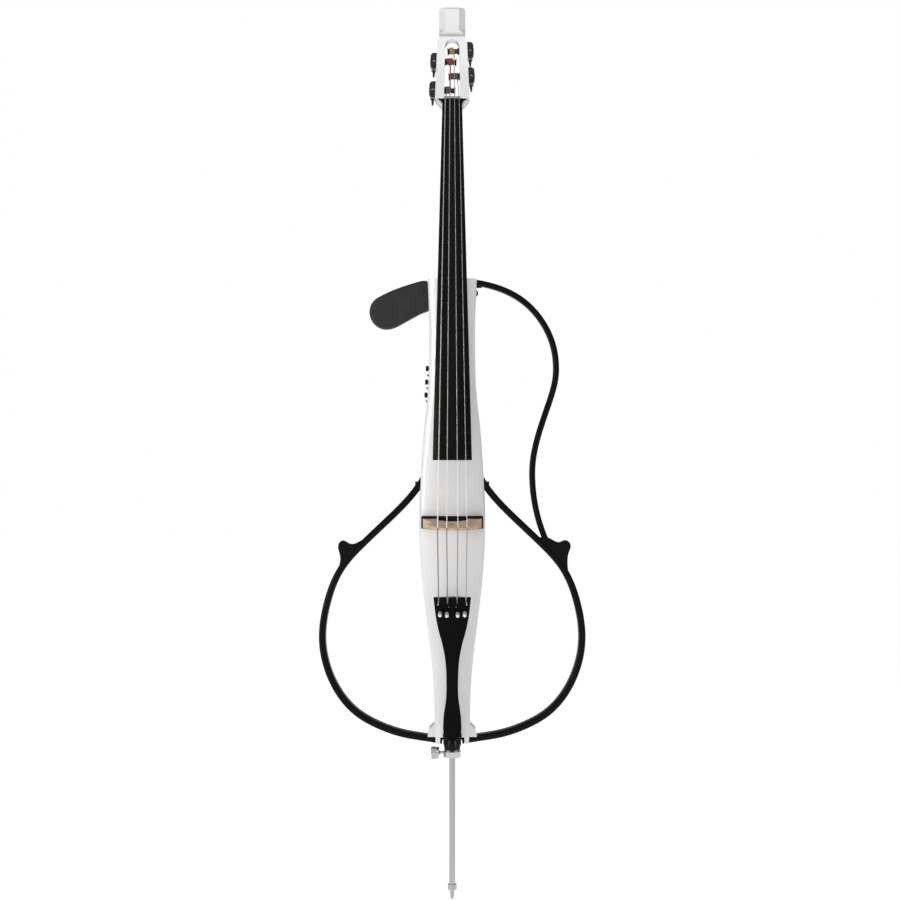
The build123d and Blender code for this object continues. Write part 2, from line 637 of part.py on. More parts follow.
def make_bridge():
    """The maple bridge: its outline across and forward, thinned from the feet up to the crown."""
    foot_y = BASE_BOX[2]

    def at(x, height):
        return (x, foot_y - height)

    top = REST_Y_BRIDGE
    edge_x = 26.5
    crown_edge = (edge_x, top + arch_drop(edge_x))
    right = [
        ThreePointArc((0, top), (edge_x / 2, top + arch_drop(edge_x / 2)), crown_edge),
        Spline(crown_edge, at(29.5, 66), at(36.5, 57), at(38.5, 46), at(33.0, 37), at(34.5, 24),
               at(41.0, 11), at(44.0, 4.5)),
        Line(at(44.0, 4.5), at(47.0, 2.5)),
        Line(at(47.0, 2.5), at(47.0, 0)),
        Line(at(47.0, 0), at(23.0, 0)),
        Line(at(23.0, 0), at(23.0, 2.5)),
        Spline(at(23.0, 2.5), at(25.5, 6.5), at(21.5, 14.5), at(11.0, 21.5), at(0, 23.5),
               tangents=((0.6, -1), (-1, 0))),
        Line(at(0, 23.5), (0, top)),
    ]
    half = make_face(right)
    outline = half + mirror(half, about=Plane.YZ)
    for side in (-1, 1):
        kidney = Pos(side * 25.0, foot_y - 40.0) * Rot(0, 0, side * 18) * Ellipse(4.2, 8.0)
        outline -= kidney
        outline -= Pos(side * 3.4, foot_y - 50.0) * Circle(4.0)
    outline -= make_face(Polyline((-7.1, foot_y - 48.5), (7.1, foot_y - 48.5), (0, foot_y - 37.0), close=True))
    plate = Pos(0, 0, BASE_Z - 20) * extrude(outline, 40)
    taper = Polyline((foot_y, BASE_Z - 8.8), (foot_y, BASE_Z + 6.0), (top - 2, BRIDGE_Z + 1.6),
                     (top - 2, BRIDGE_Z - 1.6), close=True)
    return plate & side_plate(taper, -60, 60)


def make_pickup():
    base = block(*BASE_BOX)
    base = chamfer(base.faces().sort_by(Axis.Y)[0].edges(), 1.2)
    strip = block(-46, 46, -34.5, -32.7, BASE_Z - 4, BASE_Z + 2)
    base -= block(-46.1, 46.1, -36, -32.7, BASE_Z - 4.1, BASE_Z + 2.1)
    return {"pickup_base": base, "piezo_pickup": strip}


# ---------------------------------------------------------------- tailpiece
FINE_X = [-19.3, -8.4, 8.4, 19.3]
TAIL_X = [across[-1] for _, _, *across in STRINGS]
SCREW_ALONG = 213.0
FINE_HEAD_RADIUS = 3.0
FINE_HEAD_LENGTH = 16.0
CORD_X = (-5.0, 5.0)
CORD_RADIUS = 1.2
LEVER_PIVOT = (HOOK_ALONG - 8.0, -13.0)


def tail_outline():
    """Along the tailpiece from its rounded lower end, out to half width, and back."""
    side = Spline(
        (0, 0), (11.5, 7.5), (14.75, 22.0), (13.6, 42.0), (9.7, 73.0), (9.4, 106.0), (11.0, 134.0),
        (15.4, 160.0), (21.6, 183.0), (26.4, 208.0), (29.7, TAIL_LENGTH), tangents=((1, 0), (0.1, 1)))
    half = make_face([side, Line((29.7, TAIL_LENGTH), (0, TAIL_LENGTH + 1)), Line((0, TAIL_LENGTH + 1), (0, 0))])
    return half + mirror(half, about=Plane.YZ)


def make_tailpiece():
    plate = Pos(0, 0, -TAIL_DEPTH) * extrude(tail_outline(), TAIL_DEPTH)
    arch = Pos(0, TAIL_LENGTH / 2, -TAIL_ARCH) * Rot(90, 0, 0) * Cylinder(TAIL_ARCH, TAIL_LENGTH + 20)
    piece = plate & arch
    pocket = Pos(0, HOOK_ALONG - 12, -TAIL_DEPTH - 8) * Box(44, 34, 24)
    inner = Pos(0, TAIL_LENGTH / 2, -TAIL_ARCH) * Rot(90, 0, 0) * Cylinder(TAIL_ARCH - 4.0, TAIL_LENGTH + 20)
    piece -= pocket & inner
    pivot_along, pivot_out = LEVER_PIVOT
    for x, hook_x in zip(FINE_X, TAIL_X):
        mid = (x + hook_x) / 2
        cheeks = Pos(mid, pivot_along, -10.5) * Box(7.6, 6, 9)
        cheeks -= Pos(mid, pivot_along, -12) * Box(4.0, 8, 14)
        cheeks = cheeks & arch
        piece += cheeks
        piece -= Pos(mid, pivot_along, pivot_out) * Rot(0, 90, 0) * Cylinder(1.25, 12)
        piece -= Pos(hook_x, TAIL_LENGTH - 5.5, -5) * Box(3.4, 16, 16)
        piece -= Pos(hook_x, TAIL_LENGTH - 13.5, -5) * Cylinder(2.6, 16)
        piece -= Pos(x, SCREW_ALONG, -5) * Cylinder(1.8, 20)
    placed = TAIL_PLANE * piece
    for x in CORD_X:
        placed -= tail_cord_strand(x, CORD_RADIUS + 0.04)
    return placed


def make_fine_tuners():
    parts = {}
    pivot_along, pivot_out = LEVER_PIVOT
    for number, (x, hook_x) in enumerate(zip(FINE_X, TAIL_X), start=1):
        surface = -tail_surface(x)
        head = Cylinder(FINE_HEAD_RADIUS, FINE_HEAD_LENGTH)
        head = Pos(x, SCREW_ALONG, surface + 1.2 + FINE_HEAD_LENGTH / 2) * head
        head = fillet(head.edges(), 0.7)
        shank = Pos(x, SCREW_ALONG, (surface + 2 - 11.2) / 2) * Cylinder(1.75, surface + 2 + 11.2)
        parts[f"fine_tuner_screw_{number}"] = TAIL_PLANE * (head + shank)
        mid = (x + hook_x) / 2
        arm = Pos(mid, (SCREW_ALONG - 4 + HOOK_ALONG + 3) / 2, pivot_out) * Box(
            3.2, HOOK_ALONG + 7 - SCREW_ALONG, 2.4)
        post = Pos(hook_x, HOOK_ALONG + 1.5, (pivot_out - tail_surface(hook_x) - 3.6) / 2) * Box(
            2.6, 3.0, -pivot_out - tail_surface(hook_x) - 3.6 + 0.01)
        pin = Pos(mid, pivot_along, pivot_out) * Rot(0, 90, 0) * Cylinder(1.2, 7.4)
        parts[f"fine_tuner_lever_{number}"] = TAIL_PLANE * (arm + post + pin)
    return parts


def tail_cord_strand(x, radius):
    """One strand of the tail cord: out of the tailpiece, over the saddle and to the endpin plug."""
    path = FilletPolyline((x, -47.6, 291.0), (x, -39.0, 271.0), (x, -38.9, 262.0), (x, -14.4, 248.4), radius=4.0)
    start = Plane(origin=path @ 0, z_dir=path % 0)
    return sweep(start * Circle(radius), path=path)


def make_tail_cord():
    cords = [tail_cord_strand(x, CORD_RADIUS) for x in CORD_X]
    saddle = block(-15, 15, -37.3, -26, 263, 273)
    saddle = fillet(saddle.edges().filter_by(Axis.X).group_by(Axis.Y)[0], 3.0)
    return {"tail_cord": Compound(children=cords), "saddle": saddle}


# ---------------------------------------------------------------- endpin
def make_endpin():
    plug_foot, socket_half = 12.6, 14.4
    socket = bar_z(COLLAR_TOP, PLUG_TOP, plug_foot, 14.4)
    socket += block(-socket_half, socket_half, SLOT_FRONT + 0.2, SLOT_BACK - 0.2, PLUG_TOP, SLOT_ROOF - 0.2)
    socket += bar_z(SLOT_ROOF - 0.3, SOCKET_TOP, SOCKET_RADIUS)
    socket -= bar_z(COLLAR_TOP - 1, SOCKET_TOP + 1, ROD_RADIUS + 0.6)
    collar = bar_z(COLLAR_BOTTOM, COLLAR_EDGE, COLLAR_RADIUS)
    collar += bar_z(COLLAR_EDGE, COLLAR_TOP, COLLAR_RADIUS, plug_foot)
    collar -= bar_z(COLLAR_BOTTOM - 1, COLLAR_TOP + 1, ROD_BORE)
    collar -= bar_x(-20, 0, 0, THUMB_Z, THUMB_SHANK_RADIUS + 0.05)
    screw = bar_x(-22, THUMB_END_X, 0, THUMB_Z, THUMB_SHANK_RADIUS)
    knob = bar_x(*THUMB_KNOB_X, 0, THUMB_Z, THUMB_KNOB_RADIUS)
    knob = fillet(knob.edges(), 0.8)
    rod = bar_z(FERRULE_TOP, ROD_TOP, ROD_RADIUS)
    tip = bar_z(0, 5, TIP_POINT_RADIUS, TIP_RADIUS) + bar_z(5, FERRULE_BOTTOM, TIP_RADIUS)
    tip += bar_z(FERRULE_BOTTOM, FERRULE_TOP, FERRULE_RADIUS)
    return {
        "endpin_socket": socket, "endpin_collar": collar, "endpin_thumb_screw": screw + knob,
        "endpin_rod": rod, "endpin_tip": tip}


# ---------------------------------------------------------------- bout frames and chest pad
def bout_bar(route, width, depth, edge_radius):
    """A flat bar whose middle line is a smooth curve through the route, rounded along its edges."""
    middle = Spline(*route)
    steps = 3 * len(route)
    outer, inner = [], []
    for i in range(steps + 1):
        point = middle @ (i / steps)
        along = middle % (i / steps)
        across = Vector(-along.Y, along.X) * (width / 2)
        outer.append(point + across)
        inner.append(point - across)
    inner.reverse()
    outline = [Spline(*outer), Line(outer[-1], inner[0]), Spline(*inner), Line(inner[-1], outer[0])]
    bar = extrude(Plane.XZ * make_face(outline), depth / 2, both=True)
    bar = Pos(0, FRAME_MID_Y, 0) * bar
    return fillet(bar.edges().filter_by(GeomType.BSPLINE), edge_radius)


def horn(rim, heel):
    """The pointed corner where a cello's bouts meet: a smooth rim, closed inside the lower bar."""
    curve = Spline(*rim)
    outline = [curve, Line(rim[-1], (172, 538)), Line((172, 538), heel), Line(heel, rim[0])]
    plate = front_plate(outline, FRAME_MID_Y - 12, FRAME_MID_Y + 12)
    return fillet(plate.edges().filter_by(GeomType.BSPLINE), 2.2)


def make_frames():
    bars = []
    for rim in (LEFT_HORN, RIGHT_HORN):
        bar = bout_bar(LOWER_ROUTE, LOWER_WIDTH, LOWER_DEPTH, 4.4) + horn(rim, HORN_HEEL)
        bar -= OUTER_GROWN
        bars.append(bar + bar_x(46, 60, FRAME_MID_Y, 672, 4.0))
    left, right = bars
    upper = bout_bar(UPPER_ROUTE, UPPER_WIDTH, UPPER_DEPTH, 3.8)
    upper -= block(0, body_half(BODY_TOP) + 0.3, -40, 40, 960, 1020)
    upper += bar_x(28, 48, FRAME_MID_Y, 993, 3.5)
    return {"left_frame": mirror(left, about=Plane.YZ), "right_frame": right + upper}


def make_chest_pad():
    inner_top, inner_low = (-30, 1002), (-30, 953)
    outline = [
        Line(inner_top, PAD_TOP[0]),
        Spline(*PAD_TOP),
        ThreePointArc(PAD_TOP[-1], (-134, 948), PAD_LOW[0]),
        Spline(*PAD_LOW, inner_low),
        Line(inner_low, inner_top),
    ]
    pad = front_plate(outline, FRAME_MID_Y - PAD_DEPTH / 2, FRAME_MID_Y + PAD_DEPTH / 2)
    pad = fillet(pad.edges().filter_by(Axis.Y, reverse=True), 6.0)
    pad -= OUTER_GROWN
    pad -= block(-37, 0, -40, 40, 900, 1010)
    return pad + bar_x(-52, -28, FRAME_MID_Y, 978, 4.0)


def make_lock_knobs():
    """Each lock knob clamps with the end of its screw, which stops just short of what it holds."""
    parts = {}
    starts = {"upper": (6.3, 29.6), "pad": (6.6, 29.6), "left": (15.6, 21.0), "right": (15.6, 21.0)}
    radii = {"upper": 6.7, "pad": 6.7, "left": 5.6, "right": 5.6}
    for name, (x, z) in lock_screw_sites().items():
        inside, outside = starts[name]
        head = bar_y(outside, outside + 8, x, z, radii[name])
        head = fillet(head.edges(), 1.0)
        parts[f"{name}_lock_knob"] = head + bar_y(inside, outside + 1, x, z, 2.0)
    return parts


def main():
    parts = {"body": make_body(), "neck": make_neck(), "fingerboard": make_fingerboard(), "nut": make_nut()}
    parts |= make_covers() | make_panels() | make_controls() | make_electronics()
    parts |= make_tuners() | make_strings() | {"bridge": make_bridge()} | make_pickup()
    parts |= {"tailpiece": make_tailpiece()} | make_fine_tuners() | make_tail_cord()
    parts |= make_endpin() | make_frames() | {"chest_pad": make_chest_pad()} | make_lock_knobs()
    for name, shape in parts.items():
        export_step(shape, f"parts/{name}.step")
    print(len(parts), "nodes")


main()
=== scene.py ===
"""An electric frame cello on a pale floor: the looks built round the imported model, in metres."""
import json
import math

import bmesh
import bpy
from mathutils import Matrix, Vector

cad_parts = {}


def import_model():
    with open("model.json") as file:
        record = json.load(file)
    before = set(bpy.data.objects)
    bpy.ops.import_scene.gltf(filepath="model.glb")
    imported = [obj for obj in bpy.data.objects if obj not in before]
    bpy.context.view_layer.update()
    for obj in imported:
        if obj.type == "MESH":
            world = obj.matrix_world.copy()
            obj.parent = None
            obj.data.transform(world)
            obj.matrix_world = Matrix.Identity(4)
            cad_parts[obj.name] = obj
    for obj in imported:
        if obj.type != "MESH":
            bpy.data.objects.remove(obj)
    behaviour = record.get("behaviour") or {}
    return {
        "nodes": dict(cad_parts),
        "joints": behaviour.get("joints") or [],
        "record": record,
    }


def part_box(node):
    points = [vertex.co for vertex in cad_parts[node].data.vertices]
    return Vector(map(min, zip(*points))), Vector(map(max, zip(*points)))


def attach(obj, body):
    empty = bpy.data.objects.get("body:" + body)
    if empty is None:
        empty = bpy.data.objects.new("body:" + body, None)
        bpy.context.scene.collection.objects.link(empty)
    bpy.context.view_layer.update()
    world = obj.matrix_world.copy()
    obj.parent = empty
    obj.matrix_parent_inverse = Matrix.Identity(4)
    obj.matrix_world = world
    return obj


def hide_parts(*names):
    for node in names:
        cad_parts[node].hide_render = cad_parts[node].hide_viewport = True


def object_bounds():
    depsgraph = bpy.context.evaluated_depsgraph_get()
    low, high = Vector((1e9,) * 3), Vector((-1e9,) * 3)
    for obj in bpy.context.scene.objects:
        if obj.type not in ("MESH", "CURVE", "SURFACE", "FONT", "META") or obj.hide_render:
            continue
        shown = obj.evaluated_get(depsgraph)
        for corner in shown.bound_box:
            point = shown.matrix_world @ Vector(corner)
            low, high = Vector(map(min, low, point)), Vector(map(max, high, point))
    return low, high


MM = 0.001
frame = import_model()
NODES = frame["nodes"]
JOINTS = {joint["name"]: joint for joint in frame["joints"]}
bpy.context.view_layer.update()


# ------------------------------------------------------------------ reading places from the frame
def joint_frame(name):
    """The joint's point and its axis."""
    joint = JOINTS[name]
    return Vector(joint["pos_m"]), Vector(joint["axis"]).normalized()


# how far in height the points of a string's end cap and of its next ring lie apart
CAP_REACH = 0.9 * MM
RING_REACH = 1.2 * MM
# how far from the end the next ring is at least
RING_GAP = 6 * MM


def end_ring(node, top):
    """Centre of the cap at the upper or lower end of a string."""
    points = [v.co for v in NODES[node].data.vertices]
    level = max(p.z for p in points) if top else min(p.z for p in points)
    cap = [p for p in points if abs(p.z - level) < CAP_REACH]
    return sum(cap, Vector()) / len(cap)


# ------------------------------------------------------------------ shader helpers
def new_material(name, colour, roughness, metallic=0.0):
    mat = bpy.data.materials.new(name)
    mat.use_nodes = True
    shader = mat.node_tree.nodes["Principled BSDF"]
    shader.inputs["Base Color"].default_value = (*colour, 1)
    shader.inputs["Roughness"].default_value = roughness
    shader.inputs["Metallic"].default_value = metallic
    return mat, shader


def object_coords(mat, stretch=(1, 1, 1), turn=(0, 0, 0)):
    tree = mat.node_tree
    coords = tree.nodes.new("ShaderNodeTexCoord")
    mapping = tree.nodes.new("ShaderNodeMapping")
    mapping.inputs["Scale"].default_value = stretch
    mapping.inputs["Rotation"].default_value = turn
    tree.links.new(coords.outputs["Object"], mapping.inputs["Vector"])
    return mapping.outputs["Vector"]


def noise(mat, scale, detail, stretch=(1, 1, 1), distortion=0.0):
    tree = mat.node_tree
    node = tree.nodes.new("ShaderNodeTexNoise")
    node.inputs["Scale"].default_value = scale
    node.inputs["Detail"].default_value = detail
    node.inputs["Distortion"].default_value = distortion
    tree.links.new(object_coords(mat, stretch), node.inputs["Vector"])
    return node.outputs["Fac"]


def ramp(mat, value, stops):
    """A colour ramp through (position, colour) stops."""
    tree = mat.node_tree
    node = tree.nodes.new("ShaderNodeValToRGB")
    tree.links.new(value, node.inputs["Fac"])
    elements = node.color_ramp.elements
    while len(elements) < len(stops):
        elements.new(0.5)
    for element, (position, colour) in zip(elements, stops):
        element.position = position
        element.color = (*colour, 1)
    return node.outputs["Color"]


def map_range(mat, value, low, high, from_low=0.3, from_high=0.7):
    """The value mapped to low and high, by default from the middle range of a noise."""
    tree = mat.node_tree
    node = tree.nodes.new("ShaderNodeMapRange")
    node.inputs["From Min"].default_value = from_low
    node.inputs["From Max"].default_value = from_high
    node.inputs["To Min"].default_value = low
    node.inputs["To Max"].default_value = high
    tree.links.new(value, node.inputs["Value"])
    return node.outputs["Result"]


def blend(mat, factor, a, b, mode="MIX"):
    """Two colours blended; each of the three values is a socket or a constant."""
    tree = mat.node_tree
    node = tree.nodes.new("ShaderNodeMix")
    node.data_type = "RGBA"
    node.blend_type = mode
    for name, value in (("Factor", factor), ("A", a), ("B", b)):
        if isinstance(value, bpy.types.NodeSocket):
            tree.links.new(value, node.inputs[name])
        else:
            node.inputs[name].default_value = value
    return node.outputs["Result"]


def calculate(mat, operation, *values):
    """The result of one Math node on the values, which are sockets."""
    node = mat.node_tree.nodes.new("ShaderNodeMath")
    node.operation = operation
    for value, socket in zip(values, node.inputs):
        mat.node_tree.links.new(value, socket)
    return node.outputs["Value"]


def coordinate(mat, letter):
    """The place along X, Y or Z in the object's own frame."""
    node = mat.node_tree.nodes.new("ShaderNodeSeparateXYZ")
    mat.node_tree.links.new(object_coords(mat), node.inputs["Vector"])
    return node.outputs[letter]


def voronoi(mat, scale, feature="F1"):
    node = mat.node_tree.nodes.new("ShaderNodeTexVoronoi")
    node.feature = feature
    node.inputs["Scale"].default_value = scale
    mat.node_tree.links.new(object_coords(mat), node.inputs["Vector"])
    return node


def bands(mat, direction, scale, distortion):
    """Soft stripes, from 0 to 1 and back."""
    node = mat.node_tree.nodes.new("ShaderNodeTexWave")
    node.bands_direction = direction
    node.inputs["Scale"].default_value = scale
    node.inputs["Distortion"].default_value = distortion
    mat.node_tree.links.new(object_coords(mat), node.inputs["Vector"])
    return node.outputs["Fac"]


def scaled(colour, share):
    return tuple(c * share for c in colour)


def link_colour(mat, shader, colour):
    mat.node_tree.links.new(colour, shader.inputs["Base Color"])


def link_roughness(mat, shader, value, low, high):
    mat.node_tree.links.new(map_range(mat, value, low, high), shader.inputs["Roughness"])


def link_bump(mat, shader, value, depth, strength):
    """Bump whose height goes from 0 to depth, in metres."""
    tree = mat.node_tree
    node = tree.nodes.new("ShaderNodeBump")
    node.inputs["Strength"].default_value = strength
    node.inputs["Distance"].default_value = depth
    tree.links.new(value, node.inputs["Height"])
    tree.links.new(node.outputs["Normal"], shader.inputs["Normal"])


# ------------------------------------------------------------------ materials
def pearl_white():
    """White lacquer with a fine pearl flake under a clear coat."""
    mat, shader = new_material("pearl_white", (0.79, 0.79, 0.795), 0.32)
    flakes = voronoi(mat, 2600).outputs["Color"]
    link_colour(mat, shader, ramp(mat, flakes, [
        (0.0, (0.76, 0.76, 0.77)), (1.0, (0.82, 0.82, 0.82))]))
    link_roughness(mat, shader, noise(mat, 9, 6), 0.27, 0.36)
    link_bump(mat, shader, noise(mat, 240, 3), 0.00003, 0.35)
    shader.inputs["Coat Weight"].default_value = 0.8
    shader.inputs["Coat Roughness"].default_value = 0.06
    return mat


def ebony():
    """Near-black wood: fine straight grain along the neck."""
    mat, shader = new_material("ebony", (0.004, 0.004, 0.004), 0.4)
    shader.inputs["Specular IOR Level"].default_value = 0.11
    grain = noise(mat, 420, 8, stretch=(1.0, 1.0, 0.03))
    link_colour(mat, shader, ramp(mat, grain, [
        (0.35, (0.0018, 0.0018, 0.0017)), (0.6, (0.003, 0.0028, 0.0025)),
        (0.8, (0.008, 0.007, 0.0055))]))
    link_roughness(mat, shader, grain, 0.34, 0.5)
    link_bump(mat, shader, grain, 0.00006, 0.5)
    return mat


def maple():
    """Spotted maple: pale brown with short dark flecks and faint growth lines."""
    mat, shader = new_material("maple", (0.55, 0.37, 0.22), 0.45)
    growth = noise(mat, 110, 6, stretch=(0.12, 1.0, 1.0), distortion=0.6)
    fleck = noise(mat, 900, 2, stretch=(0.35, 1.0, 1.0))
    base = ramp(mat, growth, [
        (0.3, (0.50, 0.34, 0.215)), (0.5, (0.61, 0.425, 0.29)), (0.75, (0.70, 0.515, 0.37))])
    spots = ramp(mat, fleck, [(0.36, (0.55, 0.5, 0.45)), (0.46, (1, 1, 1))])
    link_colour(mat, shader, blend(mat, 0.8, base, spots, "MULTIPLY"))
    link_roughness(mat, shader, growth, 0.38, 0.55)
    link_bump(mat, shader, fleck, 0.00008, 0.5)
    return mat


def satin_black(name, colour, low, high, grain=700.0, specular=0.22):
    """Black plastic or lacquer with a slight mould texture and uneven sheen."""
    mat, shader = new_material(name, colour, (low + high) / 2)
    shader.inputs["Specular IOR Level"].default_value = specular
    cloud = noise(mat, 14, 5)
    link_colour(mat, shader, ramp(mat, cloud, [(0.35, colour), (0.7, scaled(colour, 1.5))]))
    link_roughness(mat, shader, noise(mat, 35, 6), low, high)
    link_bump(mat, shader, noise(mat, grain, 3), 0.00004, 0.6)
    return mat


def pad_rubber():
    """Soft dark grey foam skin with a leathery pebble."""
    mat, shader = new_material("pad_rubber", (0.035, 0.035, 0.037), 0.72)
    pebbles = voronoi(mat, 900, "SMOOTH_F1").outputs["Distance"]
    shader.inputs["Specular IOR Level"].default_value = 0.3
    cloud = noise(mat, 20, 5)
    link_colour(mat, shader, ramp(mat, cloud, [
        (0.35, (0.018, 0.018, 0.0195)), (0.7, (0.028, 0.028, 0.03))]))
    link_roughness(mat, shader, noise(mat, 60, 5), 0.62, 0.82)
    link_bump(mat, shader, pebbles, 0.00012, 0.8)
    shader.inputs["Sheen Weight"].default_value = 0.05
    return mat


def metal(name, colour, low, high, stretch=(1, 1, 1), scale=600.0, metallic=1.0):
    """Bare metal with drawn or turned streaks."""
    mat, shader = new_material(name, colour, (low + high) / 2, metallic)
    streak = noise(mat, scale, 6, stretch=stretch)
    link_colour(mat, shader, ramp(mat, streak, [(0.35, scaled(colour, 0.86)), (0.65, colour)]))
    link_roughness(mat, shader, streak, low, high)
    link_bump(mat, shader, streak, 0.00002, 0.6)
    return mat


def wound_metal(name, colour, highlight_colour):
    """A string's metal winding, with a painted highlight where the bow plays and a painted dark
    reflection below the bridge.
    """
    mat, shader = new_material(name, colour, 0.3, 1.0)
    turns = bands(mat, "Z", 0.5 / WINDING_PITCH, 0.4)
    plain_winding = ramp(mat, turns, [(0.1, scaled(colour, 0.7)), (0.45, colour)])
    # painted highlight: between the bridge and the fingerboard's end the winding is lighter and
    # almost not metallic, standing in for the white body it reflects
    painted_highlight = ramp(mat, turns, [(0.1, scaled(highlight_colour, 0.93)), (0.45, highlight_colour)])
    level = coordinate(mat, "Z")
    above_bridge = map_range(mat, level, 0, 1, BOW_LOW, BOW_LOW + BOW_EDGE)
    below_board = map_range(mat, level, 1, 0, BOW_HIGH - BOW_EDGE, BOW_HIGH)
    highlight_zone = calculate(mat, "MULTIPLY", above_bridge, below_board)
    # painted dark reflection: below the bridge the whole string is multiplied down to about a third
    painted_dark_reflection = ramp(mat, above_bridge, [(0.0, (0.36, 0.36, 0.37)), (1.0, (1, 1, 1))])
    link_colour(mat, shader, blend(mat, 1.0, blend(mat, highlight_zone, plain_winding, painted_highlight), painted_dark_reflection, "MULTIPLY"))
    # the painted highlight's zone also takes most of the metal look away there
    mat.node_tree.links.new(map_range(mat, highlight_zone, 1, 0.1, 0, 1), shader.inputs["Metallic"])
    link_roughness(mat, shader, noise(mat, 300, 4), 0.22, 0.4)
    link_bump(mat, shader, turns, 0.00005, 0.7)
    return mat


def black_post():
    """Black post whose steel worm wheel starts outside the slot of the peg box."""
    mat, shader = new_material("black_post", (0.006, 0.006, 0.0065), 0.3)
    across = calculate(mat, "ABSOLUTE", coordinate(mat, "X"))
    steel = map_range(mat, across, 0, 1, WHEEL_SIDE - 0.2 * MM, WHEEL_SIDE + 0.2 * MM)
    wear = noise(mat, 500, 5)
    black = ramp(mat, wear, [(0.35, (0.0045, 0.0045, 0.005)), (0.7, (0.009, 0.009, 0.0095))])
    link_colour(mat, shader, blend(mat, steel, black, (*STEEL, 1)))
    mat.node_tree.links.new(steel, shader.inputs["Metallic"])
    link_roughness(mat, shader, wear, 0.22, 0.4)
    link_bump(mat, shader, wear, 0.00002, 0.6)
    return mat


def silk(name, colour):
    """Coloured thread wound tightly round the end of a string."""
    mat, shader = new_material(name, colour, 0.65)
    threads = bands(mat, "DIAGONAL", 900, 1.5)
    link_colour(mat, shader, ramp(mat, threads, [(0.15, scaled(colour, 0.6)), (0.6, colour)]))
    link_roughness(mat, shader, noise(mat, 900, 3), 0.55, 0.75)
    link_bump(mat, shader, threads, 0.00008, 0.8)
    shader.inputs["Sheen Weight"].default_value = 0.4
    return mat


def circuit_board():
    """Green solder mask with faint copper tracks."""
    mat, shader = new_material("circuit", (0.01, 0.09, 0.035), 0.35)
    tree = mat.node_tree
    brick = tree.nodes.new("ShaderNodeTexBrick")
    brick.inputs["Scale"].default_value = 130
    brick.inputs["Color1"].default_value = (0.008, 0.075, 0.03, 1)
    brick.inputs["Color2"].default_value = (0.012, 0.1, 0.04, 1)
    brick.inputs["Mortar"].default_value = (0.03, 0.17, 0.07, 1)
    brick.inputs["Mortar Size"].default_value = 0.04
    tree.links.new(object_coords(mat, turn=(math.pi / 2, 0, 0)), brick.inputs["Vector"])
    link_colour(mat, shader, brick.outputs["Color"])
    link_roughness(mat, shader, noise(mat, 120, 4), 0.25, 0.45)
    link_bump(mat, shader, brick.outputs["Fac"], 0.00004, 0.5)
    return mat


# heights of the bridge and the fingerboard's end, between which the bow plays
BOW_LOW = 0.6045
BOW_HIGH = 0.712
BOW_EDGE = 2 * MM
WINDING_PITCH = 1.1 * MM
# how far from the middle the string posts' worm wheels start
WHEEL_SIDE = 22 * MM
STEEL = (0.58, 0.57, 0.55)

WHITE = pearl_white()
EBONY = ebony()
MAPLE = maple()
FRAME_BLACK = satin_black("frame_black", (0.0025, 0.0025, 0.0027), 0.28, 0.4, specular=0.1)
PART_BLACK = satin_black("part_black", (0.003, 0.003, 0.0032), 0.34, 0.5, specular=0.14)
TAIL_BLACK = satin_black("tail_black", (0.0018, 0.0018, 0.0019), 0.2, 0.32, 400.0, specular=0.05)
TUNER_BLACK = satin_black("tuner_black", (0.006, 0.006, 0.0065), 0.22, 0.34, 1200.0, specular=0.4)
POST_LOOK = black_post()
GREY_PLASTIC = satin_black("grey_plastic", (0.12, 0.12, 0.125), 0.4, 0.55)
PAD = pad_rubber()
ROD_STEEL = metal("rod_steel", (0.47, 0.47, 0.48), 0.22, 0.34, stretch=(1, 1, 0.02))
CHROME = metal("chrome", (0.60, 0.60, 0.61), 0.14, 0.26, stretch=(1, 1, 6), scale=300.0)
GEAR_STEEL = metal("gear_steel", STEEL, 0.22, 0.38)
NICKEL = metal("satin_nickel", (0.86, 0.86, 0.84), 0.3, 0.42, metallic=0.3)
LEVER_DARK = metal("lever_dark", (0.035, 0.035, 0.037), 0.3, 0.45)
CELL = satin_black("cell_wrap", (0.1, 0.11, 0.13), 0.2, 0.3)
CIRCUIT = circuit_board()
# each string's metal, its painted highlight where the bow plays, then the silk at its post and at
# the tailpiece
STRING_COLOURS = {
    "c": ((0.62, 0.62, 0.56), (0.95, 0.88, 0.86), (0.17, 0.14, 0.17), (0.26, 0.19, 0.21)),
    "g": ((0.56, 0.50, 0.46), (0.95, 0.84, 0.76), (0.36, 0.05, 0.06), (0.30, 0.27, 0.10)),
    "d": ((0.52, 0.54, 0.57), (0.92, 0.91, 0.90), (0.50, 0.36, 0.12), (0.15, 0.19, 0.15)),
    "a": ((0.58, 0.58, 0.56), (0.92, 0.91, 0.92), (0.13, 0.155, 0.13), (0.28, 0.26, 0.11)),
}
STRING_METAL = {s: wound_metal(f"winding_{s}", c[0], c[1]) for s, c in STRING_COLOURS.items()}
SILKS = {s: silk(f"silk_{s}", c[2]) for s, c in STRING_COLOURS.items()}
TAIL_SILKS = {s: silk(f"tail_silk_{s}", c[3]) for s, c in STRING_COLOURS.items()}

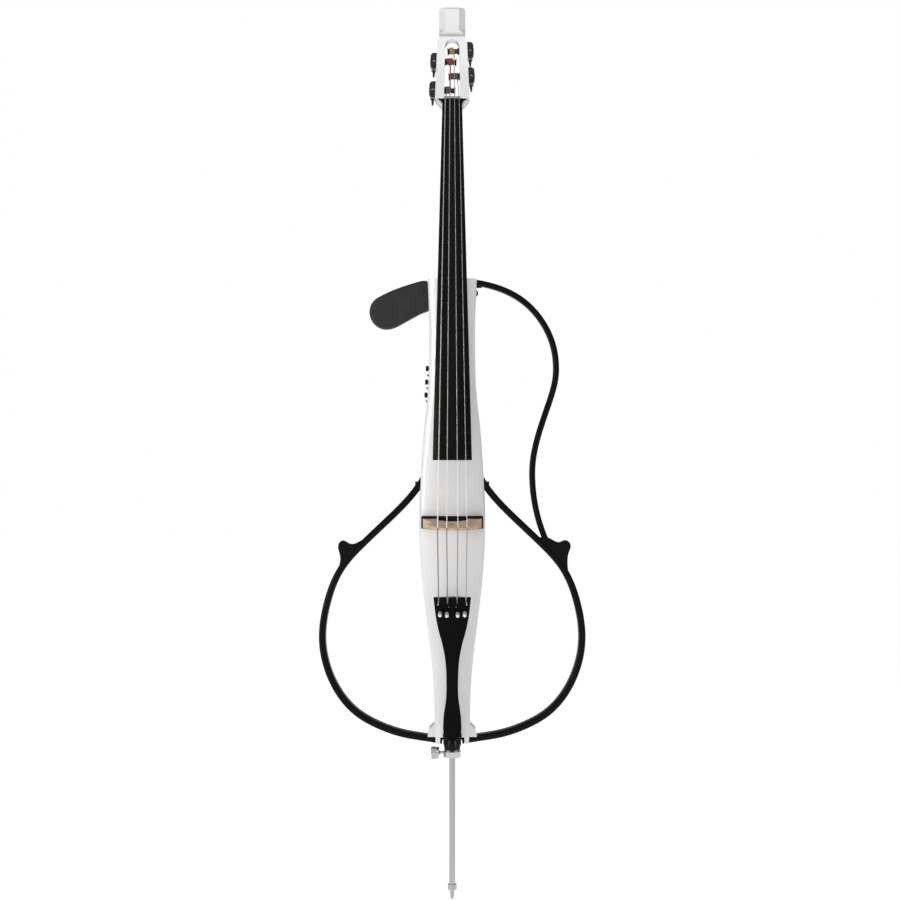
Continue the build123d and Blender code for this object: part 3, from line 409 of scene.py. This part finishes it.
SLOT_LOOKS = {
    "white_lacquer": WHITE, "ebony": EBONY, "maple": MAPLE, "black_satin": PART_BLACK,
    "frame_black": FRAME_BLACK, "pad_rubber": PAD, "tuner_black": TUNER_BLACK,
    "steel": GEAR_STEEL, "chrome": CHROME, "string_metal": STRING_METAL["d"],
    "circuit": CIRCUIT, "cell": CELL, "grey_plastic": GREY_PLASTIC, "cord": PART_BLACK,
    "rubber_tip": GREY_PLASTIC,
}
NODE_LOOKS = {"tailpiece": TAIL_BLACK, "endpin_rod": ROD_STEEL, "endpin_tip": ROD_STEEL}
NODE_LOOKS |= {f"string_{letter}": look for letter, look in STRING_METAL.items()}
NODE_LOOKS |= {f"string_post_{number}": POST_LOOK for number in range(1, 5)}
NODE_LOOKS |= {f"fine_tuner_lever_{number}": LEVER_DARK for number in range(1, 5)}


def dress_cad_nodes():
    """Gives every carried-over node its procedural material."""
    for part in frame["record"]["subparts"]:
        node = NODES[part["node"]]
        look = NODE_LOOKS.get(part["node"], SLOT_LOOKS[part["material_slot"]])
        node.data.materials.clear()
        node.data.materials.append(look)


# ------------------------------------------------------------------ mesh helpers
SHARP_ANGLE = 35


def placed(name, data):
    obj = bpy.data.objects.new(name, data)
    bpy.context.scene.collection.objects.link(obj)
    return obj


def object_from(bm, name):
    bmesh.ops.recalc_face_normals(bm, faces=bm.faces)
    mesh = bpy.data.meshes.new(name)
    bm.to_mesh(mesh)
    bm.free()
    return placed(name, mesh)


def piece_from(bm, name, look, body):
    """A finished piece, smooth between sharp edges, that rides on a body of the frame."""
    obj = object_from(bm, name)
    mesh = obj.data
    mesh.materials.append(look)
    mesh.polygons.foreach_set("use_smooth", [True] * len(mesh.polygons))
    mesh.set_sharp_from_angle(angle=math.radians(SHARP_ANGLE))
    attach(obj, body)
    return obj


def applied(obj):
    """The object's mesh with its modifiers applied, as a bmesh."""
    bpy.context.view_layer.update()
    depsgraph = bpy.context.evaluated_depsgraph_get()
    bm = bmesh.new()
    bm.from_mesh(bpy.data.meshes.new_from_object(obj.evaluated_get(depsgraph)))
    return bm


def bridge_rings(bm, low, high):
    """A band of four-sided faces between two rings of as many points."""
    for i in range(len(low)):
        j = (i + 1) % len(low)
        bm.faces.new((low[i], low[j], high[j], high[i]))


def capped(bm, rings):
    """Bands between neighbouring rings, with a flat face over each end."""
    for low, high in zip(rings, rings[1:]):
        bridge_rings(bm, low, high)
    bm.faces.new(list(reversed(rings[0])))
    bm.faces.new(rings[-1])


def turned(bm, place, profile, segments=48, shape=None):
    """A closed turned form: profile is (along, radius) from end to end, both ends on the axis.

    shape(radius, along, angle) may change a ring's radius, for knurls and ribs.
    """
    rings = []
    for along, radius in profile:
        if radius == 0:
            rings.append([bm.verts.new(place @ Vector((0, 0, along)))])
            continue
        ring = []
        for i in range(segments):
            angle = 2 * math.pi * i / segments
            r = shape(radius, along, angle) if shape else radius
            point = Vector((r * math.cos(angle), r * math.sin(angle), along))
            ring.append(bm.verts.new(place @ point))
        rings.append(ring)
    for low, high in zip(rings, rings[1:]):
        for i in range(segments):
            j = (i + 1) % segments
            if len(low) == 1:
                bm.faces.new((low[0], high[i], high[j]))
            elif len(high) == 1:
                bm.faces.new((low[j], low[i], high[0]))
            else:
                bm.faces.new((low[i], high[i], high[j], low[j]))


def axis_place(origin, axis):
    """The placement that puts local Z on the axis."""
    turn = Vector(axis).normalized().to_track_quat("Z", "Y").to_matrix().to_4x4()
    return Matrix.Translation(origin) @ turn


def tube(bm, points, radius, segments=14):
    """A capped round tube through the points, with its rings square to the path."""
    rings = []
    side = None
    for i, point in enumerate(points):
        ahead = points[min(i + 1, len(points) - 1)] - points[max(i - 1, 0)]
        ahead.normalize()
        if side is None:
            side = ahead.orthogonal().normalized()
        side = (side - ahead * side.dot(ahead)).normalized()
        other = ahead.cross(side)
        r = radius(i / (len(points) - 1)) if callable(radius) else radius
        rings.append([
            bm.verts.new(point + (side * math.cos(a) + other * math.sin(a)) * r)
            for a in (2 * math.pi * k / segments for k in range(segments))])
    capped(bm, rings)


# ------------------------------------------------------------------ strings' silk ends
POSTS = {"c": 1, "g": 2, "d": 3, "a": 4}
STRING_RADIUS = {"c": 0.9 * MM, "g": 0.75 * MM, "d": 0.6 * MM, "a": 0.5 * MM}
SILK_THICKNESS = 0.3 * MM
POST_RADIUS = 4.0 * MM
STEPS_PER_TURN = 32
TAIL_SILK = 11 * MM
# how far each string's silk runs down from its post
TOP_SILK = {"c": 9 * MM, "g": 54 * MM, "d": 14 * MM, "a": 12 * MM}
# left and right end of each winding on its post
WOUND = {"c": (-11.6 * MM, -1.6 * MM), "g": (-9.3 * MM, 1.6 * MM),
         "d": (-5.4 * MM, 3.4 * MM), "a": (-2.4 * MM, 10.3 * MM)}


def post_winding(letter):
    """The string's silk end wound round its post in close turns."""
    number = POSTS[letter]
    centre = joint_frame(f"string_post_{number}_turn")[0]
    thread = STRING_RADIUS[letter] + SILK_THICKNESS
    left, right = WOUND[letter]
    width = right - left - 2 * thread
    turns = width / (2.02 * thread)
    steps = int(turns * STEPS_PER_TURN)
    points = []
    for i in range(steps + 1):
        share = i / steps
        angle = share * turns * 2 * math.pi
        offset = Vector((0, -math.cos(angle), math.sin(angle))) * (POST_RADIUS + thread * 0.92)
        points.append(Vector((left + thread + width * share, centre.y, centre.z)) + offset)
    bm = bmesh.new()
    tube(bm, points, thread)
    piece_from(bm, f"silk_winding_{letter}", SILKS[letter], f"post_{number}")


def sleeve(letter, node_end_top, reach, name, look):
    """Silk over the string from one of its ends, tapering where it stops."""
    node = f"string_{letter}"
    end = end_ring(node, node_end_top)
    farther = [v.co for v in NODES[node].data.vertices if abs(v.co.z - end.z) > RING_GAP]
    nearest = min(abs(p.z - end.z) for p in farther)
    next_ring = [p for p in farther if abs(abs(p.z - end.z) - nearest) < RING_REACH]
    bend = sum(next_ring, Vector()) / len(next_ring)
    direction = (bend - end).normalized()
    thick = STRING_RADIUS[letter] + SILK_THICKNESS

    def radius(share):
        return thick - SILK_THICKNESS * 0.8 * max(0.0, (share - 0.85) / 0.15)

    steps = 12
    path = [end + direction * reach * i / steps for i in range(steps + 1)]
    bm = bmesh.new()
    tube(bm, path, radius)
    piece_from(bm, name, look, "instrument")


def string_ends():
    for letter in POSTS:
        post_winding(letter)
        sleeve(letter, True, TOP_SILK[letter], f"silk_top_{letter}", SILKS[letter])
        sleeve(letter, False, TAIL_SILK, f"silk_tail_{letter}", TAIL_SILKS[letter])


# ------------------------------------------------------------------ tailpiece
TAIL_FOOT = Vector((0, -50, 262)) * MM
TAIL_TOP = Vector((0, -98, 494)) * MM
TAIL_LENGTH = (TAIL_TOP - TAIL_FOOT).length
TAIL_WAY = (TAIL_TOP - TAIL_FOOT).normalized()
TAIL_OUT = Vector((0, -TAIL_WAY.z, TAIL_WAY.y))
TAIL_ARCH = 60 * MM
TAIL_DEPTH = 10 * MM
TAIL_EDGE = 1.0 * MM
# length and half width of its round lower end
BULB_LENGTH, BULB_HALF = 22 * MM, 14.75 * MM
# distance along the tailpiece and half its width there, above its round lower end
TAIL_HALF = [
    (22, 14.75), (42, 13.6), (73, 9.7), (106, 9.4), (134, 11.0), (160, 15.4), (183, 21.6),
    (208, 26.4), (236.9, 29.7)]
HOOK_X = (-21.5 * MM, -7.5 * MM, 7.5 * MM, 21.5 * MM)
HOOK_ALONG = TAIL_LENGTH - 13.5 * MM
HOOK_RADIUS = 2.6 * MM
SLOT_HALF = 1.2 * MM
FINE_X = (-19.3 * MM, -8.4 * MM, 8.4 * MM, 19.3 * MM)
FINE_ALONG = 213 * MM
FINE_RADIUS = 1.8 * MM
# depth past the tailpiece's back, where its cutters end
BEHIND = 20 * MM


def tail_place(x, along, depth):
    """A point across, along and behind the top of the tailpiece's arch."""
    return TAIL_FOOT + Vector((x, 0, 0)) + TAIL_WAY * along - TAIL_OUT * depth


def arch(x):
    """How far the front falls back at x."""
    return TAIL_ARCH - math.sqrt(TAIL_ARCH ** 2 - x ** 2)


def tail_half(along):
    """Half width by a smooth curve through the stations, as a cubic between each two."""
    points = [(a * MM, h * MM) for a, h in TAIL_HALF]
    slopes = []
    for i in range(len(points)):
        low, high = points[max(i - 1, 0)], points[min(i + 1, len(points) - 1)]
        slopes.append((high[1] - low[1]) / (high[0] - low[0]))
    for (a0, h0), (a1, h1), s0, s1 in zip(points, points[1:], slopes, slopes[1:]):
        if along <= a1 + MM:
            t, span = (along - a0) / (a1 - a0), a1 - a0
            return ((2 * t**3 - 3 * t**2 + 1) * h0 + (t**3 - 2 * t**2 + t) * span * s0
                    + (3 * t**2 - 2 * t**3) * h1 + (t**3 - t**2) * span * s1)
    return points[-1][1]


def tail_section(half):
    """Across and deep round the section: arched front, rounded edges and a flat back."""
    edge = min(TAIL_EDGE, half * 0.3)
    flat = half - edge
    right = [(flat * k / 10, arch(flat * k / 10)) for k in range(11)]
    rounding = [(flat + edge * math.sin(t), edge * (1 - math.cos(t)))
                for t in (math.radians(18 * k) for k in range(1, 6))]
    right += [(x, arch(x) + fall) for x, fall in rounding]
    right += [(x, TAIL_DEPTH - fall) for x, fall in reversed(rounding)]
    right += [(flat * k / 6, TAIL_DEPTH) for k in range(6, -1, -1)]
    return right + [(-x, depth) for x, depth in reversed(right[1:-1])]


def tail_plate():
    """The plate before its slots and holes: an elliptic lower end, then the smooth half widths."""
    rounds = [math.radians(a) for a in (4, 9, 15, 22, 30, 38, 47, 56, 66, 78)]
    stations = [(BULB_LENGTH * (1 - math.cos(a)), BULB_HALF * math.sin(a)) for a in rounds]
    steps = 72
    straight = TAIL_LENGTH - 0.8 * MM - BULB_LENGTH
    for k in range(steps + 1):
        along = BULB_LENGTH + straight * k / steps
        stations.append((along, tail_half(along)))
    bm = bmesh.new()
    rings = []
    for along, half in stations:
        # the upper end bows out by a millimetre in the middle
        bow = MM * max(0.0, along - 200 * MM) / (37 * MM)
        rings.append([bm.verts.new(tail_place(x, along + bow * (1 - abs(x) / half), depth))
                      for x, depth in tail_section(half)])
    # a last ring, drawn in all round, eases the upper edge
    half = stations[-1][1]
    middle = TAIL_DEPTH * 0.65
    last = [(x * 0.977, TAIL_LENGTH + MM * (1 - abs(x) / half), middle + (depth - middle) * 0.86)
            for x, depth in tail_section(half)]
    rings.append([bm.verts.new(tail_place(*point)) for point in last])
    capped(bm, rings)
    return object_from(bm, "tail_plate")


def prism(outline, along_low, along_high):
    """A closed solid whose outline is across and deep, between two places along the tailpiece."""
    bm = bmesh.new()
    capped(bm, [[bm.verts.new(tail_place(x, along, depth)) for x, depth in outline]
                for along in (along_low, along_high)])
    return bm


def drilled(x, along, radius):
    """A round cutter square to the tailpiece."""
    bm = bmesh.new()
    place = axis_place(tail_place(x, along, 16 * MM), TAIL_OUT)
    reach = 24 * MM
    turned(bm, place, [(0, 0), (0, radius), (reach, radius), (reach, 0)], segments=40)
    return bm


def tail_cutters():
    """String slots with their keyholes, holes of the fine tuners, and the hollow for the levers."""
    cutters = []
    for x in HOOK_X:
        left, right, front = x - SLOT_HALF, x + SLOT_HALF, -10 * MM
        slot = [(left, front), (right, front), (right, BEHIND), (left, BEHIND)]
        cutters.append(prism(slot, HOOK_ALONG, TAIL_LENGTH + 4 * MM))
        cutters.append(drilled(x, HOOK_ALONG, HOOK_RADIUS))
    cutters += [drilled(x, FINE_ALONG, FINE_RADIUS) for x in FINE_X]
    wide = [(-22 + 4 * k) * MM for k in range(12)]
    hollow = [(x, arch(x) + 4 * MM) for x in wide] + [(wide[-1], BEHIND), (wide[0], BEHIND)]
    cutters.append(prism(hollow, TAIL_LENGTH - 37 * MM, TAIL_LENGTH - 3 * MM))
    return cutters


def shaped_tailpiece():
    """The arched tailpiece, with rounded edges and everything cut in it."""
    plate = tail_plate()
    helpers = [plate]
    for number, bm in enumerate(tail_cutters()):
        cutter = object_from(bm, f"tail_cutter_{number}")
        helpers.append(cutter)
        cut = plate.modifiers.new(cutter.name, "BOOLEAN")
        cut.operation, cut.solver, cut.object = "DIFFERENCE", "EXACT", cutter
    carved = applied(plate)
    for helper in helpers:
        bpy.data.objects.remove(helper)
    shaped = piece_from(carved, "shaped_tailpiece", TAIL_BLACK, "instrument")
    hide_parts("tailpiece")


# ------------------------------------------------------------------ chest pad
PAD_VOXEL = 1.6 * MM
SEAM_HALF = 1.6 * MM
SEAM_DEPTH = 0.5 * MM


def soft_chest_pad():
    """The chest rest as moulded foam: soft corners, thinner by the body, a seam round its edge."""
    foam = placed("pad_foam", NODES["chest_pad"].data.copy())
    remesh = foam.modifiers.new("even", "REMESH")
    remesh.mode, remesh.voxel_size = "VOXEL", PAD_VOXEL
    relax = foam.modifiers.new("relax", "SMOOTH")
    relax.factor, relax.iterations = 0.5, 14
    bm = applied(foam)
    bpy.data.objects.remove(foam)
    low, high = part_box("chest_pad")
    middle = (low.y + high.y) / 2
    for vert in bm.verts:
        along = (vert.co.x - low.x) / (high.x - low.x)
        thinned = 1 - 0.10 * max(0.0, 2.2 * along - 1.0) ** 2
        vert.co.y = middle + (vert.co.y - middle) * thinned
        off_seam = abs(vert.co.y - middle)
        if off_seam < SEAM_HALF and abs(vert.normal.y) < 0.5:
            vert.co -= vert.normal * SEAM_DEPTH * (1 - (off_seam / SEAM_HALF) ** 2)
    pad = piece_from(bm, "soft_chest_pad", PAD, "chest_rest")
    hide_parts("chest_pad")


# ------------------------------------------------------------------ knurled and ribbed screws
def knurled_thumb_screw():
    """The endpin's clamping screw: a turned shank and a diamond-knurled head."""
    centre = joint_frame("thumb_screw_turn")[0]
    low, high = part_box("endpin_thumb_screw")
    radius = (high.z - low.z) / 2
    place = axis_place(Vector((low.x, centre.y, centre.z)), Vector((1, 0, 0)))
    head = 13.0 * MM
    length = high.x - low.x
    cuts, rows = 44, 26
    knurl_low, knurl_high, knurl_depth = 1.1 * MM, head - 4.1 * MM, 0.55 * MM
    neck, shank = radius - 1.1 * MM, 2.5 * MM
    profile = [(0.0, 0), (0.0, radius * 0.3), (0.25 * MM, radius * 0.32),
               (0.25 * MM, radius * 0.74), (0.0, radius * 0.78), (0.0, radius - 1.3 * MM),
               (0.9 * MM, radius - 0.35 * MM)]
    profile += [(knurl_low + (knurl_high - knurl_low) * i / rows, radius) for i in range(rows + 1)]
    profile += [(head - 3.9 * MM, neck), (head - 3.1 * MM, neck),
                (head - 2.9 * MM, radius - 0.3 * MM), (head - 0.8 * MM, radius - 0.3 * MM),
                (head, neck), (head, 4.2 * MM), (head + 1.6 * MM, 3.2 * MM),
                (head + 2.2 * MM, shank), (length - 0.7 * MM, shank),
                (length, 1.9 * MM), (length, 0)]

    def knurl(r, along, angle):
        if not knurl_low <= along <= knurl_high or r < radius:
            return r
        slant = along / radius * cuts
        ridge = abs(math.sin((cuts * angle + slant) / 2) * math.sin((cuts * angle - slant) / 2))
        return r - knurl_depth * (1 - ridge)

    bm = bmesh.new()
    turned(bm, place, profile, segments=cuts * 6, shape=knurl)
    screw = piece_from(bm, "knurled_thumb_screw", CHROME, "thumb_screw")
    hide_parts("endpin_thumb_screw")


FINE_HEAD = 16.0 * MM
RIBS = 22
RIB_DEPTH = 0.22 * MM


def fine_tuner_heads():
    """The four fine tuner screws, with tall ribbed heads."""
    for number in range(1, 5):
        centre, axis = joint_frame(f"fine_tuner_{number}_turn")
        arms = [v.co - centre for v in NODES[f"fine_tuner_screw_{number}"].data.vertices]
        along = [arm.dot(axis) for arm in arms]
        low, high = min(along), max(along)
        radius = max((arm - axis * a).length for arm, a in zip(arms, along))
        under, shank = high - FINE_HEAD, 1.75 * MM
        profile = [(low, 0), (low, 1.3 * MM), (low + 0.4 * MM, shank), (under - 0.3 * MM, shank),
                   (under, 2.2 * MM), (under, radius - 0.9 * MM),
                   (under + 0.6 * MM, radius - 0.2 * MM)]
        profile += [(under + 0.8 * MM + 1.1 * MM * i, radius) for i in range(13)]
        profile += [(high - 1.4 * MM, radius - 0.3 * MM), (high - 0.4 * MM, radius - 0.9 * MM),
                    (high, radius - 1.8 * MM), (high, 0)]

        def rib(r, _along, angle):
            if r < radius:
                return r
            return r - RIB_DEPTH * (1 - math.cos(RIBS * angle)) / 2

        bm = bmesh.new()
        turned(bm, axis_place(centre, axis), profile, segments=RIBS * 6, shape=rib)
        name, body = f"fine_tuner_head_{number}", f"fine_screw_{number}"
        screw = piece_from(bm, name, NICKEL, body)
        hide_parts(f"fine_tuner_screw_{number}")


dress_cad_nodes()
string_ends()
knurled_thumb_screw()
fine_tuner_heads()
shaped_tailpiece()
soft_chest_pad()


# ------------------------------------------------------------------ floor, light and camera
FLOOR_GAP = 0.2 * MM


def floor():
    """A pale disc just under the endpin's tip, lit a little from within."""
    bm = bmesh.new()
    bmesh.ops.create_circle(bm, cap_ends=True, segments=96, radius=14)
    mesh = bpy.data.meshes.new("studio_floor")
    bm.to_mesh(mesh)
    bm.free()
    disc = placed("studio_floor", mesh)
    disc.location.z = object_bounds()[0].z - FLOOR_GAP
    mat, shader = new_material("studio_floor", (0.9, 0.9, 0.9), 0.9)
    shader.inputs["Emission Color"].default_value = (1, 1, 1, 1)
    shader.inputs["Emission Strength"].default_value = 0.66
    mesh.materials.append(mat)


def soft_light(name, place, target, size, power, spread=180):
    data = bpy.data.lights.new(name, "AREA")
    data.spread = math.radians(spread)
    data.shape = "RECTANGLE"
    data.size, data.size_y = size
    data.energy = power
    lamp = placed(name, data)
    lamp.location = place
    lamp.rotation_euler = (Vector(target) - Vector(place)).to_track_quat("-Z", "Y").to_euler()


SEEN_STRENGTH = 1.0
FILL_STRENGTH = 0.375


def world():
    """White where the camera sees it, and a weaker fill for everything it lights."""
    scene = bpy.context.scene
    scene.world = bpy.data.worlds.new("studio")
    scene.world.use_nodes = True
    tree = scene.world.node_tree
    tree.nodes.clear()
    out = tree.nodes.new("ShaderNodeOutputWorld")
    path = tree.nodes.new("ShaderNodeLightPath")
    mix = tree.nodes.new("ShaderNodeMixShader")
    tree.links.new(path.outputs["Is Camera Ray"], mix.inputs["Fac"])
    for socket, strength in ((1, FILL_STRENGTH), (2, SEEN_STRENGTH)):
        background = tree.nodes.new("ShaderNodeBackground")
        background.inputs["Strength"].default_value = strength
        background.inputs["Color"].default_value = (1, 1, 1, 1)
        tree.links.new(background.outputs["Background"], mix.inputs[socket])
    tree.links.new(mix.outputs["Shader"], out.inputs["Surface"])


CAMERA_PLACE = (-0.0036, -3.0, 0.727)
CAMERA_LENS, CAMERA_SENSOR = 74.07, 36


def camera():
    """Level with the middle of the instrument, square to its front."""
    data = bpy.data.cameras.new("camera")
    data.lens, data.sensor_width = CAMERA_LENS, CAMERA_SENSOR
    cam = placed("camera", data)
    cam.location = CAMERA_PLACE
    cam.rotation_euler = (math.radians(90), 0, 0)
    bpy.context.scene.camera = cam


floor()
soft_light("key", (-2.2, -1.3, 0.95), (0, 0, 0.88), (1.0, 0.7), 4.0, spread=70)
soft_light("front", (0.4, -3.4, 1.4), (0, 0, 0.7), (2.4, 2.4), 5)
soft_light("top", (0, -2.7, 2.6), (0, 0, 1.43), (1.4, 0.5), 8)
soft_light("rim", (1.6, 1.8, 2.0), (0, 0, 0.8), (1.4, 2.0), 6)
world()
camera()
bpy.context.scene.view_settings.view_transform = "Standard"
